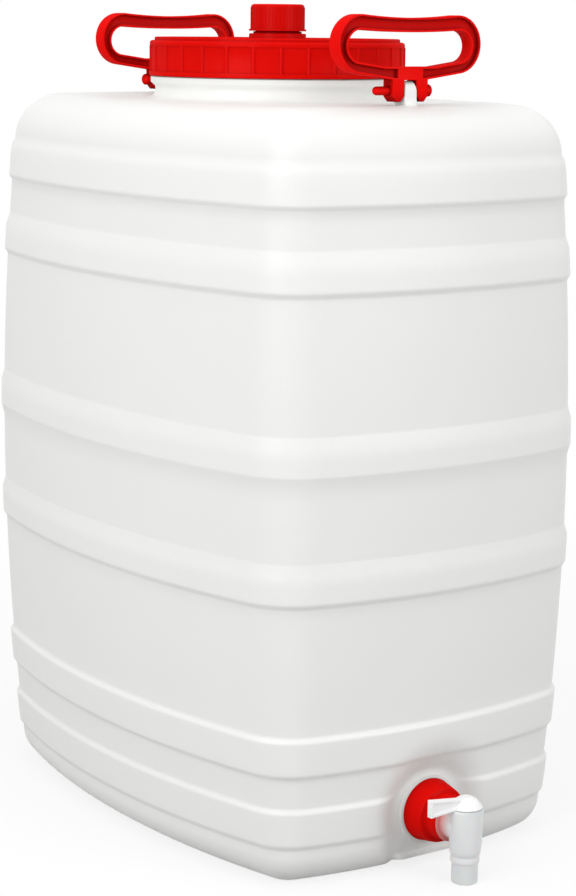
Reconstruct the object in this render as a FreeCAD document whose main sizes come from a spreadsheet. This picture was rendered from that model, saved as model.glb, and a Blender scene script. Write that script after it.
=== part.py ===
import FreeCAD, Part
import Sketcher
import math
import os

# Plastic drum of about 60 litres, in millimetres.
# The origin is the centre of the face that the drum stands on, +Z is up,
# and the tap is on the narrow side that faces -Y.

Vector = FreeCAD.Vector
doc = FreeCAD.newDocument("plastic_drum")

# Driving dimensions
SIZES = [
    # Plan of the drum
    ("side_reach", 160.7, "half the width, at the middle of the long sides"),
    ("long_reach", 218.2, "half the length, at the middle of the narrow sides"),
    ("side_rise", 34.5, "bulge of a long side"),
    ("end_rise", 28.7, "bulge of a narrow side"),
    ("corner_radius", 44.0, "upright corners"),
    ("tightest_corner", 2.5, "corner radius left at the inner edge of the deck and foot"),
    ("wall", 3.0, "wall of the drum"),
    # Upright section of the drum
    ("waist_level", 264.1, "height of the widest place"),
    ("barrel_span", 240.0, "height over which the wall draws in"),
    ("barrel_sag", 7.9, "how far the wall draws in over that height"),
    ("band_proud", 3.2, "how far a band stands out"),
    ("band_height", 30.9, "height of a band"),
    ("band_lower_slope", 4.4, "height of the lower ledge of a band"),
    ("band_upper_slope", 3.3, "height of the upper ledge of a band"),
    ("first_band", 28.4, "lower edge of the lowest band"),
    ("second_band", 81.0, "lower edge of the second band"),
    ("third_band", 203.7, "lower edge of the third band"),
    ("fourth_band", 291.1, "lower edge of the fourth band"),
    ("fifth_band", 415.2, "lower edge of the fifth band"),
    ("sixth_band", 472.8, "lower edge of the highest band"),
    ("heel_radius", 15.0, "rounding at the foot of the wall"),
    ("heel_lean", 19.5, "slope of the base outside the foot, in degrees"),
    ("foot_width", 5.0, "flat ring that the drum stands on"),
    ("panel_lift", 7.0, "how far the base panel is pushed up"),
    ("deck_level", 540.3, "height of the flat deck round the neck"),
    # Neck
    ("mouth_radius", 83.5, "bore of the neck"),
    ("neck_wall", 4.5, "wall of the neck"),
    ("neck_height", 37.0, "deck to the rim of the neck"),
    ("neck_root_radius", 91.0, "outside of the neck below its collar"),
    ("neck_fillet", 6.0, "hollow rounding at the root of the neck"),
    ("collar_radius", 93.0, "stop collar of the neck"),
    ("collar_level", 11.0, "deck to the underside of the collar"),
    ("collar_thickness", 4.9, "thickness of the collar"),
    # Lid
    ("lid_radius", 95.7, "lid over its ribs"),
    ("lid_rib_height", 1.1, "how far the ribs stand out"),
    ("lid_rib_radius", 1.5, "rounding of a rib"),
    ("lid_rib_end", 2.9, "plain ring above the ribs"),
    ("lid_ring_proud", 0.6, "how far that ring stands out"),
    ("lid_rib_count", 30.0, "ribs of the lid"),
    ("lid_rib_phase", 9.0, "angle of the first rib, in degrees"),
    ("lid_bead", 3.2, "height of the plain bead at the lower edge"),
    ("lid_skirt_wall", 3.4, "wall of the skirt"),
    ("lid_skirt_depth", 22.6, "roof underside to the lower edge"),
    ("lid_roof", 2.6, "thickness of the roof"),
    ("lid_shoulder", 2.2, "rounding of the outer top edge"),
    ("lid_rim_radius", 91.6, "outside of the raised rim"),
    ("lid_rim_width", 3.6, "width of the raised rim"),
    ("lid_rim_height", 2.9, "how far the rim stands above the panel"),
    ("lid_rim_rounding", 1.2, "rounding of the rim's edges"),
    ("lid_step", 0.4, "shoulder of the lid above the panel"),
    ("gasket_thickness", 2.0, "flat gasket of the lid"),
    # Vent
    ("vent_collar_radius", 21.3, "boss under the vent cap"),
    ("vent_collar_height", 6.1, "height of that boss"),
    ("vent_waist_radius", 18.1, "ring seen in the gap under the cap"),
    ("vent_gap", 1.8, "gap between boss and cap"),
    ("vent_neck_radius", 16.6, "threaded neck of the vent"),
    ("vent_bore_radius", 13.0, "bore of the vent"),
    ("vent_neck_height", 23.4, "lid panel to the rim of the vent neck"),
    ("vent_cap_radius", 20.0, "vent cap"),
    ("vent_cap_wall", 2.5, "wall of the vent cap"),
    ("vent_cap_roof", 2.4, "roof of the vent cap"),
    ("vent_cap_lip", 1.4, "how far its lip stands out, and its height"),
    ("vent_cap_rounding", 2.4, "rounding of its top edge"),
    ("vent_cap_ridge", 0.35, "height of a grip ridge"),
    ("vent_cap_ridge_count", 48.0, "grip ridges"),
    ("vent_seal_thickness", 1.8, "seal disc in the cap"),
    # Handles and their lugs
    ("handle_reach", 157.0, "drum axis to each handle"),
    ("pin_lift", 10.1, "deck to the axis of a handle pin"),
    ("pin_radius", 3.1, "handle pin"),
    ("pin_fit", 0.05, "running clearance of the handle on its pin"),
    ("pin_head_radius", 4.3, "head of the pin"),
    ("pin_head_length", 6.4, "length of the head"),
    ("pin_dome", 2.0, "doming of the head"),
    ("pin_play", 0.3, "gap between head and ear"),
    ("pin_tail", 13.0, "pin beyond the ear on the plain side"),
    ("lug_thickness", 9.8, "moulded lug between the ears"),
    ("lug_radius", 6.7, "rounded top of the lug"),
    ("lug_flare", 3.0, "rounding at the root of the lug"),
    ("ear_gap", 10.6, "space between the ears"),
    ("ear_width", 10.0, "one ear"),
    ("ear_drop", 7.6, "pin axis to the bottom of an ear"),
    ("ear_bevel", 3.4, "cut corner of an ear"),
    ("slot_rise", 7.3, "pin axis to the top of the slot between the ears"),
    ("handle_depth", 11.4, "thickness of a handle from front to back"),
    ("grip_half", 41.8, "middle of a handle to the centres of its ends"),
    ("grip_top", 51.9, "pin axis to the top of the grip"),
    ("grip_low", 11.6, "pin axis to the lowest part of the rounded ends"),
    ("grip_dip", 2.1, "hollow of the top of the grip"),
    ("hand_half", 43.0, "middle to the centres of the opening's ends"),
    ("hand_top", 41.4, "pin axis to the top of the opening"),
    ("hand_round", 10.9, "rounding of the ends of the opening"),
    ("hand_dip", 1.5, "bulge of the top bar into the opening"),
    ("hand_floor", 16.5, "pin axis to the middle of the opening's floor"),
    ("handle_slope", 8.0, "rise of the handle's lower edges, in degrees"),
    ("web_half", 11.0, "half the solid web over the ears"),
    ("groove_rim", 1.5, "rim beside the groove of a handle"),
    ("groove_depth", 3.2, "depth of the groove in each face"),
    # Recess, boss and tap
    ("tap_level", 41.3, "height of the outlet axis"),
    ("seat_reach", 199.0, "drum axis to the face that seats the outlet gasket"),
    ("recess_set", 0.5, "seat face to the floor of the recess"),
    ("recess_half", 50.0, "half the width of the recess at the sketch"),
    ("recess_top", 84.0, "top of the recess at the sketch"),
    ("recess_round", 34.0, "rounding of the top of the recess"),
    ("recess_draft", 24.0, "slope of the sides of the recess, in degrees"),
    ("boss_radius", 25.4, "boss round the outlet"),
    ("boss_rim", 2.4, "ring round the foot of the adapter"),
    ("boss_proud", 2.2, "how far the ring stands past the seat"),
    ("boss_depth", 10.5, "seat face to the inner end of the boss"),
    ("outlet_radius", 13.4, "bore of the boss"),
    ("nipple_fit", 0.1, "adapter nipple in the boss"),
    ("outlet_gasket_thickness", 1.5, "gasket under the adapter"),
    ("adapter_length", 20.5, "length of the cone"),
    ("adapter_foot_radius", 22.5, "large end of the cone"),
    ("adapter_nose_radius", 18.3, "small end of the cone"),
    ("adapter_nose_rounding", 1.0, "rounding of the small end"),
    ("stub_radius", 10.7, "inlet stub of the tap"),
    ("stub_fit", 0.1, "stub in the adapter"),
    ("stub_seat", 16.0, "how far the stub goes into the adapter"),
    ("stub_flange_radius", 12.2, "flange of the stub"),
    ("stub_flange_width", 1.5, "width of that flange"),
    ("tap_gasket_thickness", 1.2, "washer at the end of the stub"),
    ("bore_radius", 6.4, "way through the tap"),
    ("tap_reach", 22.0, "nose of the adapter to the barrel axis"),
    ("barrel_top_radius", 11.7, "barrel at the top"),
    ("barrel_low_radius", 9.8, "barrel at the ring"),
    ("barrel_rise", 13.2, "outlet axis to the top of the barrel"),
    ("ring_drop", 18.0, "outlet axis down to the ring"),
    ("ring_height", 4.6, "height of the ring"),
    ("spout_radius", 8.8, "outside of the spout"),
    ("spout_drop", 40.1, "outlet axis to the end of the spout"),
    ("key_radius", 8.3, "plug of the key"),
    ("key_fit", 0.05, "running clearance of the plug"),
    ("key_drop", 15.5, "outlet axis to the end of the plug"),
    ("key_head_radius", 9.7, "head of the key"),
    ("key_head_height", 11.2, "height of the head"),
    ("key_lip", 0.4, "gap between head and barrel"),
    ("lever_length", 33.5, "barrel axis to the tip of the lever"),
    ("lever_thickness", 3.2, "thickness of the lever"),
    ("lever_root_top", 8.6, "head underside to the top of the lever at the head"),
    ("lever_tip_top", 11.4, "head underside to the top of the tip"),
    ("lever_drop", 2.0, "head underside down to the lower edge of the tip"),
    ("lever_rim", 1.7, "rim round the hollow of the lever"),
    ("lever_hollow", 0.9, "depth of that hollow"),
    ("key_bore", 5.4, "blind bore and side hole of the plug"),
    ("key_crown", 2.6, "rounding of the top of the head"),
    ("upper_ring_rise", 10.3, "outlet axis to the upper O-ring"),
    ("lower_ring_drop", 11.2, "outlet axis down to the lower O-ring"),
    ("ring_groove", 1.0, "depth of an O-ring groove in the plug"),
    ("ring_section", 0.48, "section radius of an O-ring"),
]

sheet = doc.addObject("Spreadsheet::Sheet", "sizes")


class Size:
    """A number together with the sheet formula that drives it."""

    def __init__(self, value, formula):
        self.value = float(value)
        self.formula = formula

    def __add__(self, other):
        other = as_size(other)
        return Size(self.value + other.value, f"({self.formula} + {other.formula})")

    def __sub__(self, other):
        other = as_size(other)
        return Size(self.value - other.value, f"({self.formula} - {other.formula})")

    def __mul__(self, other):
        other = as_size(other)
        return Size(self.value * other.value, f"({self.formula} * {other.formula})")

    def __truediv__(self, other):
        other = as_size(other)
        return Size(self.value / other.value, f"({self.formula} / {other.formula})")

    def __neg__(self):
        return Size(-self.value, f"(0 - {self.formula})")

    __radd__ = __add__
    __rmul__ = __mul__

    def __rsub__(self, other):
        return as_size(other) - self


def as_size(number):
    if isinstance(number, Size):
        return number
    return Size(number, repr(float(number)))


def sine(angle):
    return Size(math.sin(math.radians(angle.value)), f"sin({angle.formula})")


def cosine(angle):
    return Size(math.cos(math.radians(angle.value)), f"cos({angle.formula})")


def root(amount):
    return Size(math.sqrt(amount.value), f"sqrt({amount.formula})")


def bearing(x, y):
    """The angle of the way (x, y) from the X axis, in degrees, under 90."""
    return Size(math.degrees(math.atan(y.value / x.value)), f"(atan({y.formula} / {x.formula}) / 1deg)")


size = {}
for row, (word, value, note) in enumerate(SIZES, start=1):
    sheet.set(f"A{row}", word)
    sheet.set(f"B{row}", str(value))
    sheet.set(f"C{row}", note)
    sheet.setAlias(f"B{row}", word)
    size[word] = Size(value, f"sizes.{word}")
doc.recompute()


# Helpers for sketches and features
def bind(item, path, amount):
    """Sets a property and ties it to the sheet."""
    item.setExpression(path, as_size(amount).formula)


def new_body(name):
    return doc.addObject("PartDesign::Body", name)


def place(body, x=0.0, y=0.0, z=0.0, turn=0.0):
    turned = FreeCAD.Rotation(Vector(0, 0, 1), turn)
    body.Placement = FreeCAD.Placement(Vector(0, 0, 0), turned)
    for axis, amount in (("x", x), ("y", y), ("z", z)):
        bind(body, f"Placement.Base.{axis}", amount)


def new_sketch(body, name, plane, lift=None):
    sketch = body.newObject("Sketcher::SketchObject", name)
    role = plane + "_Plane"
    support = [item for item in body.Origin.OriginFeatures if item.Role == role][0]
    sketch.AttachmentSupport = [(support, "")]
    sketch.MapMode = "FlatFace"
    if lift is not None:
        bind(sketch, "AttachmentOffset.Base.z", lift)
    return sketch


def measure(sketch, kind, places, amount):
    """Adds a dimension and ties it to the sheet."""
    amount = as_size(amount)
    index = sketch.addConstraint(Sketcher.Constraint(kind, *places, amount.value))
    sketch.setExpression(f"Constraints[{index}]", amount.formula)


def pin_point(sketch, item, end, x, y):
    """Ties a point to its distances from the sketch's origin."""
    for kind, axis, amount in (("DistanceX", -2, as_size(x)), ("DistanceY", -1, as_size(y))):
        if amount.formula == "0.0":
            sketch.addConstraint(Sketcher.Constraint("PointOnObject", item, end, axis))
        else:
            measure(sketch, kind, (-1, 1, item, end), amount)


def arc_between(start, end, radius, left):
    """The short arc from start to end that turns left or right."""
    middle = (start + end) * 0.5
    chord = end - start
    across = Vector(-chord.y, chord.x, 0).normalize()
    height = math.sqrt(max(radius ** 2 - (chord.Length / 2) ** 2, 0.0))
    centre = middle + across * (height if left else -height)
    first, last = (start, end) if left else (end, start)
    angles = [math.atan2(point.y - centre.y, point.x - centre.x) for point in (first, last)]
    circle = Part.Circle(centre, Vector(0, 0, 1), radius)
    return Part.ArcOfCircle(circle, angles[0], angles[1])


def add_loop(sketch, corners):
    """A closed outline. A corner is (x, y) before a straight line, or
    (x, y, "left" or "right", radius) before an arc that turns that way."""
    points = [Vector(as_size(c[0]).value, as_size(c[1]).value, 0) for c in corners]
    pieces = []
    for index, corner in enumerate(corners):
        start, end = points[index], points[(index + 1) % len(points)]
        if len(corner) == 2:
            item = sketch.addGeometry(Part.LineSegment(start, end))
            pieces.append((item, 1, 2, None))
            continue
        left = corner[2] == "left"
        arc = arc_between(start, end, as_size(corner[3]).value, left)
        item = sketch.addGeometry(arc)
        pieces.append((item, 1, 2, corner[3]) if left else (item, 2, 1, corner[3]))
    for index, (item, first, last, radius) in enumerate(pieces):
        follower = pieces[(index + 1) % len(pieces)]
        sketch.addConstraint(Sketcher.Constraint("Coincident", item, last, follower[0], follower[1]))
        pin_point(sketch, item, first, corners[index][0], corners[index][1])
        if radius is not None:
            measure(sketch, "Radius", (item,), radius)


def add_circle(sketch, x, y, radius):
    x, y, radius = as_size(x), as_size(y), as_size(radius)
    centre = Vector(x.value, y.value, 0)
    item = sketch.addGeometry(Part.Circle(centre, Vector(0, 0, 1), radius.value))
    if x.formula == "0.0" and y.formula == "0.0":
        sketch.addConstraint(Sketcher.Constraint("Coincident", item, 3, -1, 1))
    else:
        pin_point(sketch, item, 3, x, y)
    measure(sketch, "Radius", (item,), radius)


def settle(feature):
    """Recomputes, so that the next feature finds this one."""
    doc.recompute()
    return feature


def pad(body, name, sketch, length, both_ways=False, backwards=False):
    feature = body.newObject("PartDesign::Pad", name)
    feature.Profile = sketch
    bind(feature, "Length", length)
    feature.SideType = "Symmetric" if both_ways else "One side"
    feature.Reversed = backwards
    return settle(feature)


def pocket(body, name, sketch, length, both_ways=False, backwards=False, draft=None):
    feature = body.newObject("PartDesign::Pocket", name)
    feature.Profile = sketch
    bind(feature, "Length", length)
    feature.SideType = "Symmetric" if both_ways else "One side"
    feature.Reversed = backwards
    if draft is not None:
        bind(feature, "TaperAngle", draft)
    return settle(feature)


def revolve(body, name, sketch, axis="V_Axis", cut=False):
    kind = "PartDesign::Groove" if cut else "PartDesign::Revolution"
    feature = body.newObject(kind, name)
    feature.Profile = sketch
    feature.ReferenceAxis = (sketch, [axis])
    feature.Angle = 360
    return settle(feature)


def turned_piece(name, corners, plane="XZ", axis="V_Axis"):
    """A body with one turned feature."""
    body = new_body(name)
    sketch = new_sketch(body, name + "_section", plane)
    add_loop(sketch, corners)
    revolve(body, name + "_turned", sketch, axis)
    return body


def around(body, name, features, count):
    """Repeats features round the body's upright axis."""
    pattern = body.newObject("PartDesign::PolarPattern", name)
    pattern.Originals = features
    axis = [item for item in body.Origin.OriginFeatures if item.Role == "Z_Axis"][0]
    pattern.Axis = (axis, [""])
    pattern.Angle = 360
    bind(pattern, "Occurrences", count)
    body.Tip = pattern
    return settle(pattern)


def mirrored(body, name, features, plane):
    mirror = body.newObject("PartDesign::Mirrored", name)
    mirror.Originals = features
    role = plane + "_Plane"
    mirror.MirrorPlane = ([item for item in body.Origin.OriginFeatures if item.Role == role][0], [""])
    body.Tip = mirror
    return settle(mirror)


# Places that several pieces share
deck = size["deck_level"]
wall = size["wall"]
rim_level = deck + size["neck_height"]
roof_level = rim_level + size["gasket_thickness"]
lid_level = roof_level - size["lid_skirt_depth"]
panel_level = roof_level + size["lid_roof"]
pin_level = deck + size["pin_lift"]
inner_inset = size["corner_radius"] - size["tightest_corner"]
long_reach = size["long_reach"]
side_reach = size["side_reach"]
side_arc = (long_reach * long_reach / size["side_rise"] + size["side_rise"]) / 2
end_arc = (side_reach * side_reach / size["end_rise"] + size["end_rise"]) / 2
side_centre = side_reach - side_arc
end_centre = long_reach - end_arc

# A corner's centre lies a fixed way from the centres of both its sides
apart = root(side_centre * side_centre + end_centre * end_centre)
to_side = side_arc - size["corner_radius"]
to_end = end_arc - size["corner_radius"]
along = ((to_side - to_end) * (to_side + to_end) / apart + apart) / 2
aside = root(to_side * to_side - along * along)
corner_x = side_centre - (side_centre * along + end_centre * aside) / apart
corner_y = (end_centre * along - side_centre * aside) / apart
side_turn = bearing(corner_x - side_centre, corner_y)
end_turn = bearing(corner_x, corner_y - end_centre)


def add_plan(sketch, inset):
    """The drum's plan, drawn in by an inset: two long bulging sides, two
    narrow ones and four round corners, all tangent."""
    side_radius = side_arc - inset
    end_radius = end_arc - inset
    corner = size["corner_radius"] - inset
    start = math.radians(side_turn.value)
    stop = math.radians(end_turn.value)
    half = math.pi

    def arc(x, y, radius, first, last):
        circle = Part.Circle(Vector(x, y, 0), Vector(0, 0, 1), radius.value)
        return sketch.addGeometry(Part.ArcOfCircle(circle, first, last))

    side_x, end_y = side_centre.value, end_centre.value
    cx, cy = corner_x.value, corner_y.value
    ring = [
        ("right", arc(side_x, 0, side_radius, -start, start)),
        ("corner", arc(cx, cy, corner, start, stop)),
        ("back", arc(0, end_y, end_radius, stop, half - stop)),
        ("corner", arc(-cx, cy, corner, half - stop, half - start)),
        ("left", arc(-side_x, 0, side_radius, half - start, half + start)),
        ("corner", arc(-cx, -cy, corner, half + start, half + stop)),
        ("front", arc(0, -end_y, end_radius, half + stop, 2 * half - stop)),
        ("corner", arc(cx, -cy, corner, -stop, -start))]
    for index, (kind, item) in enumerate(ring):
        follower = ring[(index + 1) % len(ring)][1]
        sketch.addConstraint(Sketcher.Constraint("Tangent", item, 2, follower, 1))
        if kind == "corner":
            measure(sketch, "Radius", (item,), corner)
        elif kind in ("right", "left"):
            measure(sketch, "Radius", (item,), side_radius)
            sketch.addConstraint(Sketcher.Constraint("PointOnObject", item, 3, -1))
            measure(sketch, "DistanceX", (-1, 1, item, 3), side_centre * (1 if kind == "right" else -1))
        else:
            measure(sketch, "Radius", (item,), end_radius)
            sketch.addConstraint(Sketcher.Constraint("PointOnObject", item, 3, -2))
            measure(sketch, "DistanceY", (-1, 1, item, 3), end_centre * (1 if kind == "back" else -1))


def drawn_in(level):
    """How far the wall is drawn in at a height, by the barrel's curve."""
    share = (as_size(level) - size["waist_level"]) / size["barrel_span"]
    return size["barrel_sag"] * share * share


BANDS = ["first_band", "second_band", "third_band", "fourth_band", "fifth_band", "sixth_band"]


# Drum body: blown shell with bands, foot, deck, neck, lugs and outlet boss
def make_drum_body():
    body = new_body("drum_body")

    # The wall's section, as (inset from the plan, level, arc if any)
    lean = size["heel_lean"]
    heel = size["heel_radius"]
    foot_outside = inner_inset - 2 - size["foot_width"]
    heel_inset = drawn_in(heel + 5)
    toe_inset = heel_inset + heel * (1 - sine(lean))
    toe_level = (foot_outside - toe_inset) * sine(lean) / cosine(lean)
    heel_level = toe_level + heel * cosine(lean)
    sixth_top = size["sixth_band"] + size["band_height"]
    shoulder_inset = drawn_in(sixth_top)
    shoulder = inner_inset - shoulder_inset
    shoulder_level = deck - shoulder
    proud = size["band_proud"]
    section = [
        (foot_outside + size["foot_width"], 0),
        (foot_outside, 0),
        (toe_inset, toe_level, "left", heel),
        (heel_inset, heel_level)]
    for name in BANDS:
        low = size[name]
        high = low + size["band_height"]
        section.append((drawn_in(low), low))
        section.append((drawn_in(low) - proud, low + size["band_lower_slope"]))
        section.append((drawn_in(high) - proud, high - size["band_upper_slope"]))
        section.append((drawn_in(high), high))
    section += [
        (shoulder_inset, shoulder_level, "left", shoulder),
        (inner_inset, deck),
        (inner_inset, deck - wall, "right", shoulder - wall),
        (shoulder_inset + wall, shoulder_level)]
    for level in (size["fifth_band"], size["waist_level"], size["second_band"]):
        section.append((drawn_in(level) + wall, level))
    section += [
        (heel_inset + wall, heel_level, "right", heel - wall),
        (toe_inset + wall * sine(lean), toe_level + wall * cosine(lean)),
        (foot_outside + 0.5, wall),
        (foot_outside + 2.5, wall),
        (inner_inset - wall, size["panel_lift"] + wall),
        (inner_inset, size["panel_lift"] + wall),
        (inner_inset, size["panel_lift"])]

    # One turned sector for each side and corner, about that arc's own axis
    sectors = []
    corner_middle = (side_turn + end_turn) / 2
    for name, x, y, radius, middle, spread in (
            ("side", side_centre, 0, side_arc, 0, side_turn * 2),
            ("end", 0, end_centre, end_arc, 90, 180 - end_turn * 2),
            ("corner", corner_x, corner_y, size["corner_radius"], corner_middle, end_turn - side_turn),
            ("other_corner", -corner_x, corner_y, size["corner_radius"], 180 - corner_middle,
             end_turn - side_turn)):
        sketch = new_sketch(body, name + "_section", "XZ")
        sketch.AttachmentOffset = FreeCAD.Placement(
            Vector(0, 0, 0), FreeCAD.Rotation(Vector(0, 1, 0), as_size(middle).value))
        bind(sketch, "AttachmentOffset.Base.x", x)
        bind(sketch, "AttachmentOffset.Base.z", -as_size(y))
        bind(sketch, "AttachmentOffset.Rotation.Angle", middle)
        add_loop(sketch, [(radius - corner[0],) + corner[1:] for corner in section])
        sector = body.newObject("PartDesign::Revolution", name + "_sector")
        sector.Profile = sketch
        sector.ReferenceAxis = (sketch, ["V_Axis"])
        sector.Midplane = True
        bind(sector, "Angle", spread)
        sectors.append(settle(sector))
    around(body, "shell", sectors, 2)

    # Base panel and deck close the shell
    for name, level in (("base_panel", size["panel_lift"]), ("deck_panel", deck - wall)):
        sketch = new_sketch(body, name + "_plan", "XY", lift=level)
        add_plan(sketch, inner_inset - 0.6)
        if name == "deck_panel":
            add_circle(sketch, 0, 0, size["mouth_radius"])
        pad(body, name, sketch, wall)

    # Neck with its stop collar
    neck_outside = size["mouth_radius"] + size["neck_wall"]
    fillet = size["neck_fillet"]
    collar_low = deck + size["collar_level"]
    collar_top = collar_low + size["collar_thickness"]
    sketch = new_sketch(body, "neck_section", "XZ")
    add_loop(sketch, [
        (size["mouth_radius"], deck - wall),
        (size["neck_root_radius"] + fillet, deck - wall),
        (size["neck_root_radius"] + fillet, deck, "right", fillet),
        (size["neck_root_radius"], deck + fillet),
        (size["neck_root_radius"], collar_low),
        (size["collar_radius"], collar_low),
        (size["collar_radius"], collar_top),
        (neck_outside, collar_top),
        (neck_outside, rim_level),
        (size["mouth_radius"], rim_level)])
    revolve(body, "neck", sketch)

    # Handle lugs, front and back
    reach = size["handle_reach"]
    lug = size["lug_radius"]
    flare = size["lug_flare"]
    sketch = new_sketch(body, "lug_outline", "YZ")
    add_loop(sketch, [
        (-reach - lug - flare, deck - wall / 2),
        (-reach + lug + flare, deck - wall / 2),
        (-reach + lug + flare, deck, "right", flare),
        (-reach + lug, deck + flare),
        (-reach + lug, pin_level, "left", lug),
        (-reach, pin_level + lug, "left", lug),
        (-reach - lug, pin_level),
        (-reach - lug, deck + flare, "right", flare),
        (-reach - lug - flare, deck)])
    front_lug = pad(body, "lug", sketch, size["lug_thickness"], both_ways=True)
    mirrored(body, "lugs", [front_lug], "XZ")
    sketch = new_sketch(body, "pin_hole_circle", "YZ")
    add_circle(sketch, -reach, pin_level, size["pin_radius"] + size["pin_fit"])
    front_hole = pocket(body, "pin_hole", sketch, size["lug_thickness"] + 2, both_ways=True)
    mirrored(body, "pin_holes", [front_hole], "XZ")

    # Recess round the tap: a backing wall inside, then the hollow outside
    seat = -size["seat_reach"]
    floor = seat + size["recess_set"]
    front = -size["long_reach"]
    sketch = new_sketch(body, "recess_backing", "YZ")
    backing_top = size["recess_top"]
    behind = wall + 0.8
    add_loop(sketch, [
        (front + drawn_in(backing_top) + behind - 1.4, backing_top),
        (front + heel_inset + behind, heel_level),
        (front + heel_inset + heel * 0.42, heel_level - heel * 0.62),
        (front + toe_inset, toe_level + wall / 2),
        (floor + wall + 1.5, toe_level - 0.6),
        (floor + wall + 0.5, backing_top)])
    pad(body, "recess_wall", sketch, size["recess_half"] * 2 - 3, both_ways=True)
    recess_start = size["long_reach"] + 7
    half = size["recess_half"]
    round_off = size["recess_round"]
    sketch = new_sketch(body, "recess_outline", "XZ", lift=recess_start)
    add_loop(sketch, [
        (-half, -25),
        (half, -25),
        (half, size["recess_top"] - round_off, "left", round_off),
        (half - round_off, size["recess_top"]),
        (-half + round_off, size["recess_top"], "left", round_off),
        (-half, size["recess_top"] - round_off)])
    pocket(body, "recess", sketch, recess_start + floor, draft=-size["recess_draft"])

    # Outlet boss: a puck through the wall with a seat and a bore
    axis = size["tap_level"]
    boss_out = seat - size["boss_proud"]
    boss_in = seat + size["boss_depth"]
    boss = size["boss_radius"]
    sketch = new_sketch(body, "boss_circle", "XZ", lift=-boss_out)
    add_circle(sketch, 0, axis, boss)
    pad(body, "boss", sketch, boss_in - boss_out, backwards=True)
    sketch = new_sketch(body, "seat_circle", "XZ", lift=-boss_out)
    add_circle(sketch, 0, axis, boss - size["boss_rim"])
    pocket(body, "seat", sketch, size["boss_proud"])
    sketch = new_sketch(body, "outlet_circle", "XZ", lift=-boss_out)
    add_circle(sketch, 0, axis, size["outlet_radius"])
    pocket(body, "outlet", sketch, boss_in - boss_out + 3)
    return body


# Lid: ribbed skirt, raised rim, recessed panel and threaded vent neck
def make_lid():
    body = new_body("screw_lid")
    skirt = size["lid_radius"] - size["lid_rib_height"]
    inside = skirt - size["lid_skirt_wall"]
    roof_under = size["lid_skirt_depth"]
    panel = roof_under + size["lid_roof"]
    shelf = panel + size["lid_step"]
    rib_top = roof_under - size["lid_rib_end"] + 2
    ring = skirt + size["lid_ring_proud"]
    shoulder = size["lid_shoulder"]
    rim = size["lid_rim_radius"]
    rim_inside = rim - size["lid_rim_width"]
    rim_top = panel + size["lid_rim_height"]
    edge = size["lid_rim_rounding"]
    boss = size["vent_collar_radius"]
    boss_top = panel + size["vent_collar_height"]
    waist_top = boss_top + size["vent_gap"] - 0.3
    vent_rim = panel + size["vent_neck_height"]
    sketch = new_sketch(body, "lid_section", "XZ")
    add_loop(sketch, [
        (inside, 0),
        (size["lid_radius"], 0),
        (size["lid_radius"], size["lid_bead"]),
        (skirt, size["lid_bead"]),
        (skirt, rib_top),
        (ring, rib_top),
        (ring, shelf - shoulder, "left", shoulder),
        (ring - shoulder, shelf),
        (rim, shelf),
        (rim, rim_top - edge, "left", edge),
        (rim - edge, rim_top),
        (rim_inside + edge, rim_top, "left", edge),
        (rim_inside, rim_top - edge),
        (rim_inside, panel),
        (boss + 0.9, panel),
        (boss, panel + 0.9),
        (boss, boss_top - 0.6),
        (boss - 0.6, boss_top),
        (size["vent_waist_radius"], boss_top),
        (size["vent_waist_radius"], waist_top),
        (size["vent_neck_radius"], waist_top),
        (size["vent_neck_radius"], vent_rim),
        (size["vent_bore_radius"], vent_rim),
        (size["vent_bore_radius"], roof_under),
        (inside, roof_under)])
    revolve(body, "lid_turned", sketch)
    rib_reach = size["lid_radius"] - size["lid_rib_radius"]
    phase = size["lid_rib_phase"]
    sketch = new_sketch(body, "rib_circle", "XY", lift=size["lid_bead"])
    add_circle(sketch, rib_reach * cosine(phase), rib_reach * sine(phase), size["lid_rib_radius"])
    rib = pad(body, "rib", sketch, rib_top - size["lid_bead"])
    around(body, "ribs", [rib], size["lid_rib_count"])
    place(body, z=lid_level)
    return body


def make_lid_gasket():
    skirt_inside = size["lid_radius"] - size["lid_rib_height"] - size["lid_skirt_wall"]
    body = turned_piece("lid_gasket", [
        (size["mouth_radius"] + 0.3, 0),
        (skirt_inside - 1.2, 0),
        (skirt_inside - 1.2, size["gasket_thickness"]),
        (size["mouth_radius"] + 0.3, size["gasket_thickness"])])
    place(body, z=rim_level)
    return body


# Vent cap with its grip ridges and seal disc
vent_rim_level = panel_level + size["vent_neck_height"]
cap_level = panel_level + size["vent_collar_height"] + size["vent_gap"]
cap_inside = size["vent_cap_radius"] - size["vent_cap_wall"]


def make_vent_cap():
    body = new_body("vent_cap")
    depth = vent_rim_level + size["vent_seal_thickness"] - cap_level
    top = depth + size["vent_cap_roof"]
    lip = size["vent_cap_lip"]
    outside = size["vent_cap_radius"]
    edge = size["vent_cap_rounding"]
    sketch = new_sketch(body, "cap_section", "XZ")
    add_loop(sketch, [
        (cap_inside, 0),
        (outside + lip, 0),
        (outside + lip, lip),
        (outside, lip),
        (outside, top - edge, "left", edge),
        (outside - edge, top),
        (0, top),
        (0, depth),
        (cap_inside, depth)])
    revolve(body, "cap_turned", sketch)
    ridge = size["vent_cap_ridge"]
    sketch = new_sketch(body, "ridge_outline", "XY", lift=lip / 2)
    add_loop(sketch, [
        (outside - 0.5, -2 * ridge),
        (outside + ridge, 0),
        (outside - 0.5, 2 * ridge)])
    ridge_pad = pad(body, "ridge", sketch, top - edge - lip / 2)
    around(body, "ridges", [ridge_pad], size["vent_cap_ridge_count"])
    place(body, z=cap_level)
    return body


def make_vent_cap_seal():
    body = turned_piece("vent_cap_seal", [
        (0, 0),
        (cap_inside - 0.3, 0),
        (cap_inside - 0.3, size["vent_seal_thickness"]),
        (0, size["vent_seal_thickness"])])
    place(body, z=vent_rim_level)
    return body


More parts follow.
